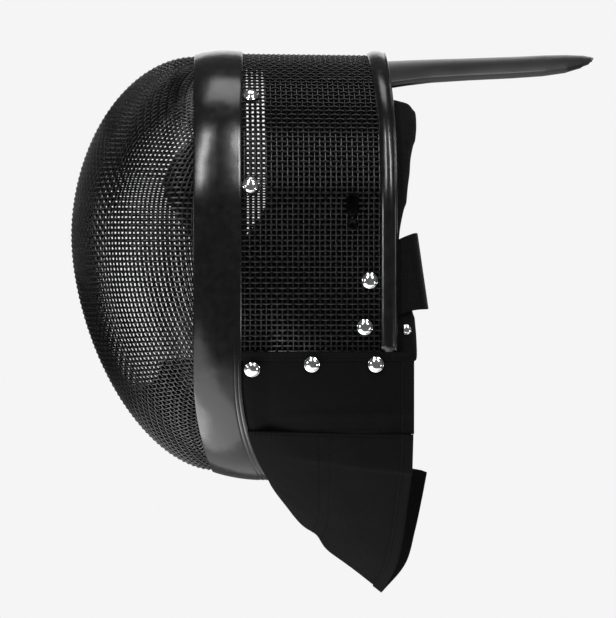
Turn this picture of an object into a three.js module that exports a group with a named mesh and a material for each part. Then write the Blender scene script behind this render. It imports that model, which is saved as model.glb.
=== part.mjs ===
// Fencing mask, in millimetres. +Z is up, the wearer looks along -Y and the wearer's left is +X.
// The origin is the point of the liner that rests on the top of the head.
//
// Every hard piece follows one skin, the outer face of the wire mesh. A place on the skin is an
// angle round the face (0 at the crown, 180 degrees at the chin), a y along the wearer's line of
// sight, and an inset: how far inside the skin it lies, or outside it when the inset is negative.
import * as THREE from "three";
import { mergeVertices } from "three/addons/utils/BufferGeometryUtils.js";

const DEGREE = Math.PI / 180;
const GAP = 0.4;

// The skin.
const HALF_WIDTH = 95.5;
const WIDEST_Z = -75;
const JAW_POWER = 2.3; // 2 would be an ellipse, more is a squarer jaw
const CROWN = [
  { y: -72, z: 20.3 },
  { y: -42, z: 22.1 },
  { y: 54, z: 20.9 },
];
const JAW_DEPTH = [ // from the widest height down to the chin; behind the face the sides stay open
  { y: -72, depth: 160.6 },
  { y: -25, depth: 167.0 },
  { y: 47, depth: 258.0 },
  { y: 75, depth: 290.0 },
];
const MESH_THICKNESS = 1.8;

// The front bowl.
const NOSE_Y = -148.7;
const NOSE_Z = -91;
const MERIDIAN_POWER = { crown: 1.93, side: 2.05, chin: 1.76 };

// The trim over the join of the two meshes. Both its edges swing back as they near the chin.
const TRIM = { front: -71.9, rear: -41.9, chinFront: -60.6, chinRear: -25, proud: 3.0, under: 0.9,
  swing: 126 };
const JOIN = { bowlEnd: 12, bandStart: -58, rimGap: 3.4 };

// The side mesh and the binding on its rear edge, which leans forward towards the crown.
const BAND_FOOT_Z = -177;
const RIM = { rear: 53.7, lean: 6.5, frontLean: 8.4, width: 10, proud: 2.8, foot: -163.4 };

// The liner, inside the side mesh.
const LINER = { outside: 6.6, inside: 20.6, front: -30, cheekFront: -52, foot: -172, round: 4 };
const LINER_REAR = [ // the rear edge: inside the rim at the crown, out behind it at the sides
  { z: 25, y: 44 },
  { z: -1, y: 46 },
  { z: -4, y: 60 },
  { z: -9, y: 63.6 },
  { z: -16, y: 64.8 },
  { z: -22, y: 64.8 },
  { z: -37, y: 62.5 },
  { z: -54, y: 61 },
  { z: -73, y: 59 },
  { z: -86, y: 58 },
  { z: -94, y: 55 },
  { z: -128, y: 55 },
  { z: -134, y: 63 },
  { z: -141, y: 64.8 },
  { z: -165, y: 64.8 },
  { z: -180, y: 63 },
];

// The wedge in front of the brow: how far each height stands ahead of the middle of the head.
const BROW = { centreY: -20, reach: 70, ends: 0.3 };
const BROW_ROWS = [
  { z: -28, ahead: 52, behind: 46 },
  { z: -34, ahead: 58, behind: 44 },
  { z: -58, ahead: 74, behind: 44 },
  { z: -70, ahead: 69, behind: 44 },
  { z: -86, ahead: 58, behind: 45 },
  { z: -102, ahead: 50, behind: 46 },
];

const CHIN_PAD = { outside: 3.5, inside: 10.5, top: -181, turn: 56, edge: 0.94 };

// The tongue: an arched strip. drop is how far its side edges hang below its crown.
const TONGUE_THICKNESS = 2.6;
const TONGUE_ROWS = [
  { y: 8, half: 46, top: 18.1, drop: 12.4 },
  { y: 48, half: 49, top: 17.4, drop: 14.2 },
  { y: 60, half: 44, top: 18.0, drop: 13.0 },
  { y: 76, half: 38, top: 18.6, drop: 11.8 },
  { y: 100, half: 34, top: 19.3, drop: 11.1 },
  { y: 126, half: 32.5, top: 20.2, drop: 10.8 },
  { y: 146, half: 30, top: 21.1, drop: 10.4 },
  { y: 160, half: 25, top: 21.4, drop: 8.8 },
  { y: 170, half: 17, top: 21.0, drop: 5.4 },
  { y: 175, half: 9, top: 20.1, drop: 2.4 },
  { y: 176.5, half: 4, top: 19.6, drop: 0.9 },
];

// The elastic band round the back: its ends lie between mesh and liner, its middle rides higher.
const STRAP = { height: 47, thickness: 1.7, inset: 3.6, end: 18, back: 69.5, corner: 9, bow: 1.5,
  tilt: 3.4, tiltFrom: 56 };
const STRAP_Z = { ends: -133.5, back: -113.4 };

// The bib.
const CLOTH = { outside: -3.4, inside: -0.9 };
const YOKE = { top: -164, seam: -214, rear: 63.6 };
const HEM_ROWS = [ // along the apron's hem, from the yoke's corner (0) to the point (1)
  { along: 0, z: -214.4, leftX: 90.2, leftY: 63.6, rightX: 90.2, rightY: 63.6 },
  { along: 0.2, z: -238.4, leftX: 84, leftY: 62.8, rightX: 84, rightY: 62.9 },
  { along: 0.25, z: -240.4, leftX: 81, leftY: 62.2, rightX: 83, rightY: 73.2 },
  { along: 0.42, z: -256.0, leftX: 69, leftY: 60, rightX: 76, rightY: 70.0 },
  { along: 0.62, z: -277.0, leftX: 53, leftY: 57.3, rightX: 60, rightY: 65.2 },
  { along: 0.82, z: -298.0, leftX: 31, leftY: 52.5, rightX: 35, rightY: 58.5 },
  { along: 1, z: -313.7, leftX: 0, leftY: 44.4, rightX: 0, rightY: 44.4 },
];
const APRON = { sag: 5.6, sagBias: 0.75, seamAt: 0.46, seamWidth: 0.06, seamPinch: 1.8,
  backTilt: 43 };

// The metalwork, by its place on the side of the mask.
const RIVET = { radius: 4.8, height: 2.3 };
const DOME = { lip: 0.4, rings: 3, sides: 12 };
const RIVETS = [
  { name: "rivet_trim_upper", y: -36.6, z: -5, onCloth: false },
  { name: "rivet_trim_lower", y: -36.6, z: -60.6, onCloth: false },
  { name: "rivet_strap_upper", y: 36.9, z: -119.4, onCloth: false },
  { name: "rivet_strap_lower", y: 33.8, z: -148, onCloth: false },
  { name: "rivet_bib_front", y: -35.6, z: -174, onCloth: true },
  { name: "rivet_bib_middle", y: 1.2, z: -171, onCloth: true },
  { name: "rivet_bib_rear", y: 40.6, z: -171, onCloth: true },
];
const SLOT = { y: 26.2, z: -72.8, radius: 3.9, length: 14.5, height: 1.6, rim: 1.2, recess: 1 };
const STUD = { y: 26.2, z: -85, radius: 3.4, height: 1.3 };
const SNAP = { y: 59.4, z: -149.5, radius: 3, height: 1.4 };

const group = new THREE.Group();

function finish(color, roughness, metalness = 0) {
  return new THREE.MeshStandardMaterial({ color, roughness, metalness });
}

const enamelledWire = finish(0x141414, 0.4, 0.6);
const glossVinyl = finish(0x0c0c0d, 0.18);
const paddedCloth = finish(0x101011, 0.9);
const bibCloth = finish(0x161616, 0.85);
const coatedSpring = finish(0x3a3b3d, 0.45);
const elastic = finish(0x0e0e0f, 0.8);
const nickel = finish(0xd8d9da, 0.15, 1);
const blackMetal = finish(0x121213, 0.3, 0.7);

// ---- Small maths ----

function mix(from, to, share) {
  return from + (to - from) * share;
}

function smooth(value, from, to) {
  const share = Math.min(Math.max((value - from) / (to - from), 0), 1);
  return share * share * (3 - 2 * share);
}

// Reads one column of a table at a value of another column, in straight steps between rows.
function look(rows, key, value, column) {
  const rising = rows[rows.length - 1][key] > rows[0][key];
  const passed = (row) => (rising ? row[key] >= value : row[key] <= value);
  const upper = Math.min(Math.max(rows.findIndex(passed), 1), rows.length - 1);
  const end = passed(rows[rows.length - 1]) ? upper : rows.length - 1;
  const before = rows[end - 1];
  const after = rows[end];
  const share = (value - before[key]) / (after[key] - before[key]);
  return mix(before[column], after[column], Math.min(Math.max(share, 0), 1));
}

// ---- The skin ----

function skin(angle, y, inset) {
  const across = Math.sin(angle);
  const up = Math.cos(angle);
  if (up >= 0) {
    const rise = look(CROWN, "y", y, "z") - WIDEST_Z - inset;
    return new THREE.Vector3((HALF_WIDTH - inset) * across, y, WIDEST_Z + rise * up);
  }
  const power = 2 / JAW_POWER;
  const depth = look(JAW_DEPTH, "y", y, "depth") - inset;
  const width = (HALF_WIDTH - inset) * Math.sign(across) * Math.abs(across) ** power;
  return new THREE.Vector3(width, y, WIDEST_Z - depth * (-up) ** power);
}

// The angle at which the skin's left side passes a height.
function angleAt(z, y, inset) {
  if (z >= WIDEST_Z) {
    return Math.acos((z - WIDEST_Z) / (look(CROWN, "y", y, "z") - WIDEST_Z - inset));
  }
  const depth = look(JAW_DEPTH, "y", y, "depth") - inset;
  return Math.PI - Math.acos(Math.min((WIDEST_Z - z) / depth, 1) ** (JAW_POWER / 2));
}

function sideNormal(y, z, inset) {
  const angle = angleAt(z, y, inset);
  const here = skin(angle, y, inset);
  const round = skin(angle + 0.01, y, inset).sub(here);
  const along = skin(angleAt(z, y + 1, inset), y + 1, inset).sub(here);
  return round.cross(along).normalize();
}

function trimFront(angle) {
  return mix(TRIM.front, TRIM.chinFront, smooth(Math.abs(angle), TRIM.swing * DEGREE, Math.PI));
}

function trimRear(angle) {
  return mix(TRIM.rear, TRIM.chinRear, smooth(Math.abs(angle), TRIM.swing * DEGREE, Math.PI));
}

function rimRear(angle) {
  return RIM.rear - RIM.lean * Math.max(Math.cos(angle), 0) ** 3;
}

function rimFront(angle) {
  return RIM.rear - RIM.width - RIM.frontLean * Math.max(Math.cos(angle), 0) ** 3;
}

// ---- Making closed solids ----

function solid(name, points, triangles, material) {
  const positions = triangles.flatMap((corner) => points[corner].toArray());
  let geometry = new THREE.BufferGeometry();
  geometry.setAttribute("position", new THREE.Float32BufferAttribute(positions, 3));
  geometry = mergeVertices(geometry, 1e-3);
  const merged = geometry.getIndex().array;
  const place = geometry.getAttribute("position");
  const corner = (index) => new THREE.Vector3().fromBufferAttribute(place, index);
  const kept = [];
  let volume = 0;
  for (let i = 0; i < merged.length; i += 3) {
    const [a, b, c] = merged.slice(i, i + 3);
    if (a !== b && b !== c && c !== a) {
      kept.push(a, b, c);
      volume += corner(a).dot(corner(b).cross(corner(c)));
    }
  }
  geometry.setIndex(volume < 0 ? kept.reverse() : kept);
  geometry.computeVertexNormals();
  const mesh = new THREE.Mesh(geometry, material);
  mesh.name = name;
  group.add(mesh);
  return mesh;
}

// A wall between two sheets. outer and inner give a point for u and v from 0 to 1. A looped wall's
// last column is its first.
function wall(name, outer, inner, columns, rows, material, looped = false) {
  const points = [];
  for (const sheet of [outer, inner]) {
    for (let row = 0; row <= rows; row++) {
      for (let column = 0; column <= columns; column++) {
        points.push(sheet(looped && column === columns ? 0 : column / columns, row / rows));
      }
    }
  }
  const half = (rows + 1) * (columns + 1);
  const at = (sheet, column, row) => sheet * half + row * (columns + 1) + column;
  const triangles = [];
  const quad = (a, b, c, d) => triangles.push(a, b, c, a, c, d);
  for (let row = 0; row < rows; row++) {
    for (let column = 0; column < columns; column++) {
      const corners = [[column, row], [column + 1, row], [column + 1, row + 1], [column, row + 1]];
      quad(...corners.map(([c, r]) => at(0, c, r)));
      quad(...corners.reverse().map(([c, r]) => at(1, c, r)));
    }
  }
  for (let column = 0; column < columns; column++) {
    quad(at(0, column + 1, 0), at(0, column, 0), at(1, column, 0), at(1, column + 1, 0));
    quad(at(0, column, rows), at(0, column + 1, rows), at(1, column + 1, rows), at(1, column, rows));
  }
  for (let row = 0; row < rows && !looped; row++) {
    quad(at(0, 0, row), at(0, 0, row + 1), at(1, 0, row + 1), at(1, 0, row));
    quad(at(0, columns, row + 1), at(0, columns, row), at(1, columns, row), at(1, columns, row + 1));
  }
  return solid(name, points, triangles, material);
}

// A bar of one section carried round the skin. section(angle) gives its corners as { y, inset },
// and turn(corner) the last angle that each corner reaches on either side of the crown.
function sweep(name, section, turn, steps, material, looped = false) {
  const points = [];
  const size = section(0).length;
  const last = looped ? steps - 1 : steps;
  for (let step = 0; step <= last; step++) {
    const share = (2 * step) / steps - 1;
    section(share * Math.PI).forEach((corner, index) => {
      const angle = looped ? share * Math.PI : share * turn(corner);
      const { y, inset } = looped ? corner : section(angle)[index];
      points.push(skin(angle, y, inset));
    });
  }
  const triangles = [];
  const at = (step, index) => (step % (last + 1)) * size + (index % size);
  for (let step = 0; step < steps; step++) {
    for (let index = 0; index < size; index++) {
      triangles.push(at(step, index), at(step + 1, index), at(step + 1, index + 1));
      triangles.push(at(step, index), at(step + 1, index + 1), at(step, index + 1));
    }
  }
  if (!looped) {
    const outline = section(turn(section(Math.PI)[0])).map(({ y, inset }) => new THREE.Vector2(y, inset));
    for (const [a, b, c] of THREE.ShapeUtils.triangulateShape(outline, [])) {
      triangles.push(at(0, a), at(0, b), at(0, c));
      triangles.push(at(steps, a), at(steps, c), at(steps, b));
    }
  }
  return solid(name, points, triangles, material);
}

// ---- Meshes, trim and binding ----

// The bowl: from its edge, u of the way round, to the nose at v = 1. Its first rows are the
// straight stretch that lies under the trim.
const SKIRT_ROWS = 1;
const BOWL_ROWS = 11;

function meridianPower(angle) {
  const up = Math.cos(angle);
  const end = up > 0 ? MERIDIAN_POWER.crown : MERIDIAN_POWER.chin;
  return mix(MERIDIAN_POWER.side, end, up * up);
}

function bowlPoint(angle, rise, inset) {
  const edge = skin(angle, trimFront(angle), inset);
  const power = 2 / meridianPower(angle);
  const shrink = Math.abs(Math.cos(rise)) ** power;
  const reach = Math.sin(rise) ** power;
  const x = edge.x * shrink;
  const z = NOSE_Z + (edge.z - NOSE_Z) * shrink;
  return new THREE.Vector3(x, mix(edge.y, NOSE_Y + inset, reach), z);
}

function bowlSheet(inset) {
  return (u, v) => {
    const angle = (2 * u - 1) * Math.PI;
    const row = v * (SKIRT_ROWS + BOWL_ROWS);
    if (row < SKIRT_ROWS) {
      return skin(angle, trimFront(angle) + JOIN.bowlEnd * (1 - row / SKIRT_ROWS), inset);
    }
    const last = row > SKIRT_ROWS + BOWL_ROWS - 0.5;
    const rise = ((row - SKIRT_ROWS) / BOWL_ROWS) * (Math.PI / 2);
    return last ? new THREE.Vector3(0, NOSE_Y + inset, NOSE_Z) : bowlPoint(angle, rise, inset);
  };
}

wall("front_mesh", bowlSheet(0), bowlSheet(MESH_THICKNESS), 32, SKIRT_ROWS + BOWL_ROWS,
  enamelledWire, true);

function bandSheet(inset) {
  return (u, v) => {
    const share = 2 * u - 1;
    const y = mix(JOIN.bandStart + 0.5, rimRear(share * 2) - JOIN.rimGap, v);
    return skin(share * angleAt(BAND_FOOT_Z, y, inset), y, inset);
  };
}

wall("side_mesh", bandSheet(0), bandSheet(MESH_THICKNESS), 32, 3, enamelledWire);

function trimSection(angle) {
  const front = trimFront(angle);
  const width = trimRear(angle) - front;
  const at = (share, inset) => ({ y: front + width * share, inset });
  const rounded = [[0, 1.4], [0.05, 2.5], [0.5, TRIM.proud], [0.95, 2.5], [1, 1.4]];
  return [...rounded.map(([share, proud]) => at(share, -proud)), at(1, -TRIM.under),
    at(0, -TRIM.under)];
}

sweep("front_trim", trimSection, null, 44, glossVinyl, true);

function bindingSection(angle) {
  const front = rimFront(angle);
  const rear = rimRear(angle);
  const slot = rear - 3;
  const leg = MESH_THICKNESS + GAP;
  return [
    { y: front, inset: -1.6 },
    { y: front + 0.9, inset: -2.5 },
    { y: mix(front, rear, 0.5), inset: -RIM.proud },
    { y: rear - 1.4, inset: -2.4 },
    { y: rear, inset: -1.2 },
    { y: rear, inset: 2.2 },
    { y: rear - 1, inset: 3.1 },
    { y: front + 3, inset: 3.1 },
    { y: front + 3, inset: leg },
    { y: slot, inset: leg },
    { y: slot, inset: -GAP },
    { y: front, inset: -GAP },
  ];
}

sweep("rear_binding", bindingSection, ({ y, inset }) => angleAt(RIM.foot, y, inset), 28, glossVinyl);

// ---- Padding ----

function linerInside(angle) {
  const crownInside = look(CROWN, "y", 0, "z");
  return mix(LINER.inside, crownInside, Math.max(Math.cos(angle), 0) ** 2);
}

function linerSection(angle) {
  const low = smooth(Math.abs(angle), 88 * DEGREE, 100 * DEGREE);
  const front = mix(LINER.front, LINER.cheekFront, low);
  const rear = look(LINER_REAR, "z", skin(angle, RIM.rear, LINER.outside).z, "y");
  const inside = linerInside(angle);
  const { outside, round } = LINER;
  return [
    { y: front + round, inset: outside },
    { y: 0, inset: outside },
    { y: rear - round, inset: outside },
    { y: rear, inset: outside + round },
    { y: rear, inset: inside - round },
    { y: rear - round, inset: inside },
    { y: 0, inset: inside },
    { y: front + round, inset: inside },
    { y: front, inset: inside - round },
    { y: front, inset: outside + round },
  ];
}

sweep("liner", linerSection, ({ y, inset }) => angleAt(LINER.foot, y, inset), 56, paddedCloth);

function browSheet(isOuter) {
  return (u, v) => {
    const turn = (2 * u - 1) * BROW.reach * DEGREE;
    const z = mix(BROW_ROWS[0].z, BROW_ROWS[BROW_ROWS.length - 1].z, v);
    const ahead = look(BROW_ROWS, "z", z, "ahead");
    const depth = ahead - look(BROW_ROWS, "z", z, "behind");
    const taper = mix(1, BROW.ends, smooth(Math.abs(turn), 0, BROW.reach * DEGREE));
    const radius = isOuter ? ahead : ahead - depth * taper;
    return new THREE.Vector3(radius * Math.sin(turn), BROW.centreY - radius * Math.cos(turn), z);
  };
}

wall("forehead_pad", browSheet(true), browSheet(false), 12, 6, paddedCloth);

// The chin pad lines the bowl from its lower edge up to a level top.
function chinSheet(inset) {
  return (u, v) => {
    const angle = Math.PI + (2 * u - 1) * CHIN_PAD.turn * DEGREE;
    const edge = skin(angle, trimFront(angle), inset);
    const power = meridianPower(angle) / 2;
    const shrink = Math.min((CHIN_PAD.top - NOSE_Z) / (edge.z - NOSE_Z), CHIN_PAD.edge);
    const top = Math.acos(shrink ** power);
    return bowlPoint(angle, mix(0.02, top, v), inset);
  };
}

wall("chin_pad", chinSheet(CHIN_PAD.outside), chinSheet(CHIN_PAD.inside), 14, 4, paddedCloth);

// ---- Tongue and strap ----

function tongueSheet(down) {
  const first = TONGUE_ROWS[0].y;
  const last = TONGUE_ROWS[TONGUE_ROWS.length - 1].y;
  return (u, v) => {
    const y = mix(first, last, 1 - (1 - v) ** 1.6);
    const half = look(TONGUE_ROWS, "y", y, "half");
    const drop = look(TONGUE_ROWS, "y", y, "drop");
    const radius = (half * half + drop * drop) / (2 * drop);
    const turn = (2 * u - 1) * Math.asin(half / radius);
    const top = look(TONGUE_ROWS, "y", y, "top") - down;
    return new THREE.Vector3(radius * Math.sin(turn), y, top - radius * (1 - Math.cos(turn)));
  };
}

wall("tongue", tongueSheet(0), tongueSheet(TONGUE_THICKNESS), 8, 16, coatedSpring);

// The strap's route, seen from above: straight back along each side, round a corner, and across.
function strapRoute() {
  const side = HALF_WIDTH - STRAP.inset - STRAP.thickness / 2;
  const { end, back, corner, bow } = STRAP;
  const turned = back - bow + 0.2; // the corner runs into the gentle bow across the back
  const route = new THREE.CurvePath();
  const flat = (x, y) => new THREE.Vector3(x, y, 0);
  route.add(new THREE.LineCurve3(flat(side, end), flat(side, back - bow - corner)));
  route.add(new THREE.QuadraticBezierCurve3(flat(side, back - bow - corner), flat(side, back - bow),
    flat(side - corner, turned)));
  route.add(new THREE.QuadraticBezierCurve3(flat(side - corner, turned),
    flat(0, back + bow - 0.2), flat(corner - side, turned)));
  route.add(new THREE.QuadraticBezierCurve3(flat(corner - side, turned),
    flat(-side, back - bow), flat(-side, back - bow - corner)));
  route.add(new THREE.LineCurve3(flat(-side, back - bow - corner), flat(-side, end)));
  return route;
}

function strapSheet(outward) {
  const route = strapRoute();
  return (u, v) => {
    const middle = route.getPointAt(u);
    const ahead = route.getPointAt(Math.min(u + 1e-3, 1)).sub(route.getPointAt(Math.max(u - 1e-3, 0)));
    const out = new THREE.Vector3(ahead.y, -ahead.x, 0).normalize();
    const back = smooth(middle.y, STRAP.end, STRAP.back);
    const z = mix(STRAP_Z.ends, STRAP_Z.back, back) + STRAP.height * (0.5 - v);
    const tilt = STRAP.tilt * (2 * v - 1) * smooth(middle.y, STRAP.tiltFrom, STRAP.back);
    const shift = (outward * STRAP.thickness) / 2 + tilt;
    const x = middle.x + out.x * shift;
    const y = middle.y + out.y * shift;
    const inset = STRAP.inset + (outward > 0 ? 0 : STRAP.thickness);
    const room = skin(angleAt(z, y, inset), y, inset).x;
    return new THREE.Vector3(Math.sign(x) * Math.min(Math.abs(x), room), y, z);
  };
}

wall("back_strap", strapSheet(1), strapSheet(-1), 34, 2, elastic);

// ---- Bib ----

function yokeSheet(side, inset) {
  return (u, v) => {
    const z = mix(YOKE.top, YOKE.seam, v);
    const front = trimRear(angleAt(z, TRIM.rear, inset)) + 0.5;
    const y = mix(front, YOKE.rear, u);
    const point = skin(angleAt(z, y, inset), y, inset);
    return point.multiply(new THREE.Vector3(side, 1, 1));
  };
}

wall("bib_yoke_left", yokeSheet(1, CLOTH.outside), yokeSheet(1, CLOTH.inside), 8, 3, bibCloth);
wall("bib_yoke_right", yokeSheet(-1, CLOTH.outside), yokeSheet(-1, CLOTH.inside), 8, 3, bibCloth);

// The apron hangs in ribs from the trim's rear edge to the hem. u runs from the left yoke, under
// the chin, to the right yoke, and v from trim to hem.
function apronSheet(depth) {
  const first = angleAt(YOKE.seam - GAP, -36, CLOTH.outside);
  return (u, v) => {
    const side = u <= 0.5 ? 1 : -1;
    const along = 1 - Math.abs(2 * u - 1);
    const angle = mix(first, Math.PI, along);
    const start = skin(angle, trimRear(angle) + 0.5, CLOTH.outside);
    const z = look(HEM_ROWS, "along", along, "z");
    const x = look(HEM_ROWS, "along", along, side > 0 ? "leftX" : "rightX");
    const y = look(HEM_ROWS, "along", along, side > 0 ? "leftY" : "rightY");
    const point = start.lerp(new THREE.Vector3(x, y, z), v);
    const turn = (along * Math.PI) / 2;
    const tilt = APRON.backTilt * DEGREE;
    const inward = new THREE.Vector3(-Math.cos(turn), Math.sin(turn) * Math.sin(tilt),
      Math.sin(turn) * Math.cos(tilt));
    const pinch = APRON.seamPinch * Math.exp(-(((v - APRON.seamAt) / APRON.seamWidth) ** 2));
    const sag = APRON.sag * Math.sin(Math.PI * v ** APRON.sagBias) - pinch * along;
    point.addScaledVector(inward, depth - Math.max(sag, 0));
    return new THREE.Vector3(Math.max(point.x, 0) * side, point.y, point.z);
  };
}

wall("bib_apron", apronSheet(0), apronSheet(CLOTH.inside - CLOTH.outside), 40, 8, bibCloth);

// ---- Metalwork ----

function placeOnSide(geometry, name, { y, z }, inset, side, material) {
  const mesh = new THREE.Mesh(geometry, material);
  const normal = sideNormal(y, z, inset);
  const point = skin(angleAt(z, y, inset), y, inset).addScaledVector(normal, GAP);
  const mirror = new THREE.Vector3(side, 1, 1);
  mesh.position.copy(point.multiply(mirror));
  const outward = normal.multiply(mirror);
  const down = new THREE.Vector3(0, 0, -1);
  const upward = down.clone().addScaledVector(outward, -down.dot(outward)).normalize().negate();
  const basis = new THREE.Matrix4().makeBasis(upward.clone().cross(outward), upward, outward);
  mesh.quaternion.setFromRotationMatrix(basis);
  mesh.name = name;
  group.add(mesh);
}

// A domed head on a flat base, turned about its own +Z.
function dome(radius, height) {
  const profile = [new THREE.Vector2(0, 0), new THREE.Vector2(radius, 0)];
  for (let step = 1; step <= DOME.rings; step++) {
    const turn = (step / DOME.rings) * 90 * DEGREE;
    const x = step === DOME.rings ? 0 : radius * Math.cos(turn);
    profile.push(new THREE.Vector2(x, DOME.lip + (height - DOME.lip) * Math.sin(turn)));
  }
  return new THREE.LatheGeometry(profile, DOME.sides).rotateX(Math.PI / 2);
}

// A pill-shaped plate with a raised rim round a shallow recess.
function slotPlate() {
  const straight = SLOT.length / 2 - SLOT.radius;
  const pill = (radius) => {
    const shape = new THREE.Shape();
    shape.absarc(0, straight, radius, 0, Math.PI);
    shape.absarc(0, -straight, radius, Math.PI, 2 * Math.PI);
    shape.closePath();
    return shape;
  };
  return { outer: pill(SLOT.radius), hollow: pill(SLOT.radius - SLOT.rim) };
}

function slotGeometry() {
  const { outer, hollow } = slotPlate();
  const outline = outer.getPoints(6);
  const inner = hollow.getPoints(6);
  const levels = [
    { points: outline, z: 0 },
    { points: outline, z: SLOT.height },
    { points: inner, z: SLOT.height },
    { points: inner, z: SLOT.height - SLOT.recess },
  ];
  const count = outline.length - 1;
  const places = levels.flatMap(({ points, z }) => points.slice(0, count).map((p) =>
    new THREE.Vector3(p.x, p.y, z)));
  const bottom = places.push(new THREE.Vector3(0, 0, 0)) - 1;
  const floor = places.push(new THREE.Vector3(0, 0, SLOT.height - SLOT.recess)) - 1;
  const triangles = [];
  for (let i = 0; i < count; i++) {
    const next = (i + 1) % count;
    triangles.push(bottom, next, i);
    triangles.push(floor, 3 * count + i, 3 * count + next);
    for (let level = 0; level < 3; level++) {
      const low = level * count;
      triangles.push(low + i, low + next, low + count + next, low + i, low + count + next, low + count + i);
    }
  }
  const geometry = new THREE.BufferGeometry();
  geometry.setAttribute("position", new THREE.Float32BufferAttribute(
    places.flatMap((p) => p.toArray()), 3));
  geometry.setIndex(triangles);
  geometry.computeVertexNormals();
  return geometry;
}

for (const [side, word] of [[1, "left"], [-1, "right"]]) {
  for (const rivet of RIVETS) {
    const inset = rivet.onCloth ? CLOTH.outside : 0;
    placeOnSide(dome(RIVET.radius, RIVET.height), `${rivet.name}_${word}`, rivet, inset, side, nickel);
  }
  placeOnSide(slotGeometry(), `side_slot_${word}`, SLOT, 0, side, blackMetal);
  placeOnSide(dome(STUD.radius, STUD.height), `side_stud_${word}`, STUD, 0, side, blackMetal);
  placeOnSide(dome(SNAP.radius, SNAP.height), `wing_snap_${word}`, SNAP, LINER.outside, side, nickel);
}

export default group;
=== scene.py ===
"""A fencing mask: woven wire front and sides, gloss trims, padded lining, cloth bib, back tongue.

Lengths in the tables are millimetres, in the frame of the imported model: +Z is up, the wearer
looks along -Y and the wearer's left is +X.
"""
import math

import bmesh
import bpy
import numpy as np
from mathutils import Matrix, Vector, noise


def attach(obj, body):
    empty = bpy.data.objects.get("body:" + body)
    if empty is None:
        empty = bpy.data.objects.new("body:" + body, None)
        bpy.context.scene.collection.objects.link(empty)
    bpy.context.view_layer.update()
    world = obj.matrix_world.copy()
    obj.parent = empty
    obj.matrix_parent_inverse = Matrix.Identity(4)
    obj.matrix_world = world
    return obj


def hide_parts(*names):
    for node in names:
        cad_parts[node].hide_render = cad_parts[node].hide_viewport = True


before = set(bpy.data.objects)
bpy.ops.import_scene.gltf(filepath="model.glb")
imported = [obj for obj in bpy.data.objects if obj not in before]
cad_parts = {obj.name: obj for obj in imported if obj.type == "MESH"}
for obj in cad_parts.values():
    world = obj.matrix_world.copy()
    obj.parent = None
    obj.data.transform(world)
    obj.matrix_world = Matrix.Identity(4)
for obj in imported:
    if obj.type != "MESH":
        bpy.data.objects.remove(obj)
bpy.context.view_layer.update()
scene = bpy.context.scene
MM = 0.001
DEGREE = math.pi / 180
GAP = 0.4

# ---- The mask's skin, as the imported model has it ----

HALF_WIDTH, WIDEST_Z, JAW_POWER = 95.5, -75, 2.3
CROWN = [(-72, 20.3), (-42, 22.1), (54, 20.9)]
JAW_DEPTH = [(-72, 160.6), (-25, 167.0), (47, 258.0), (75, 290.0)]
WALL = 1.8
NOSE_Y, NOSE_Z = -148.7, -91
MERIDIAN_POWER = {"crown": 1.93, "side": 2.05, "chin": 1.76}
TRIM = {"front": -71.9, "rear": -41.9, "chin_front": -60.6, "chin_rear": -25, "swing": 126}
RIM = {"rear": 53.7, "lean": 6.5, "front_lean": 8.4, "width": 10, "foot": -163.4}
TONGUE_THICKNESS = 2.6
TONGUE = [  # y, half width, height of the crown line, drop of the edges
    (8, 46, 18.1, 12.4), (48, 49, 17.4, 14.2), (60, 44, 18.0, 13.0), (76, 38, 18.6, 11.8),
    (100, 34, 19.3, 11.1), (126, 32.5, 20.2, 10.8), (146, 30, 21.1, 10.4), (160, 25, 21.4, 8.8),
    (170, 17, 21.0, 5.4), (175, 9, 20.1, 2.4), (176.5, 4, 19.6, 0.9),
]
STRAP = {"height": 47, "thickness": 1.7, "inset": 3.6, "end": 18, "back": 69.5, "corner": 9,
         "bow": 1.5, "tilt": 3.4, "tilt_from": 56}
STRAP_Z = {"ends": -133.5, "back": -113.4}
CLOTH_OUTSIDE = -3.4
YOKE = {"top": -164, "seam": -214, "rear": 63.6}
HEM = [  # along, z, left x, left y, right x, right y
    (0, -214.4, 90.2, 63.6, 90.2, 63.6), (0.2, -238.4, 84, 62.8, 84, 62.9),
    (0.25, -240.4, 81, 62.2, 83, 73.2), (0.42, -256.0, 69, 60, 76, 70.0),
    (0.62, -277.0, 53, 57.3, 60, 65.2), (0.82, -298.0, 31, 52.5, 35, 58.5),
    (1, -313.7, 0, 44.4, 0, 44.4),
]
APRON = {"sag": 5.6, "bias": 0.75, "seam": 0.46, "pinch": 1.8, "seam_width": 0.06, "tilt": 43}
RIVETS = {
    "rivet_trim_upper": (-36.6, -5, 0), "rivet_trim_lower": (-36.6, -60.6, 0),
    "rivet_strap_upper": (36.9, -119.4, 0), "rivet_strap_lower": (33.8, -148, 0),
    "rivet_bib_front": (-35.6, -174, CLOTH_OUTSIDE), "rivet_bib_middle": (1.2, -171, CLOTH_OUTSIDE),
    "rivet_bib_rear": (40.6, -171, CLOTH_OUTSIDE),
}
RIVET_HEAD = (4.8, 2.3, 0.45)  # radius, height, lip
SLOT = {"y": 26.2, "z": -72.8, "radius": 3.9, "straight": 3.35, "height": 1.6, "rim": 1.2,
        "recess": 1.0, "edge": 0.28}
STUD_PLACE, STUD_HEAD = (26.2, -85, 0), (3.4, 1.3, 0.3)
SNAP_PLACE, SNAP_HEAD = (59.4, -149.5, 6.6), (3.0, 1.4, 0.3)


def mix(low, high, share):
    return low + (high - low) * share


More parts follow.
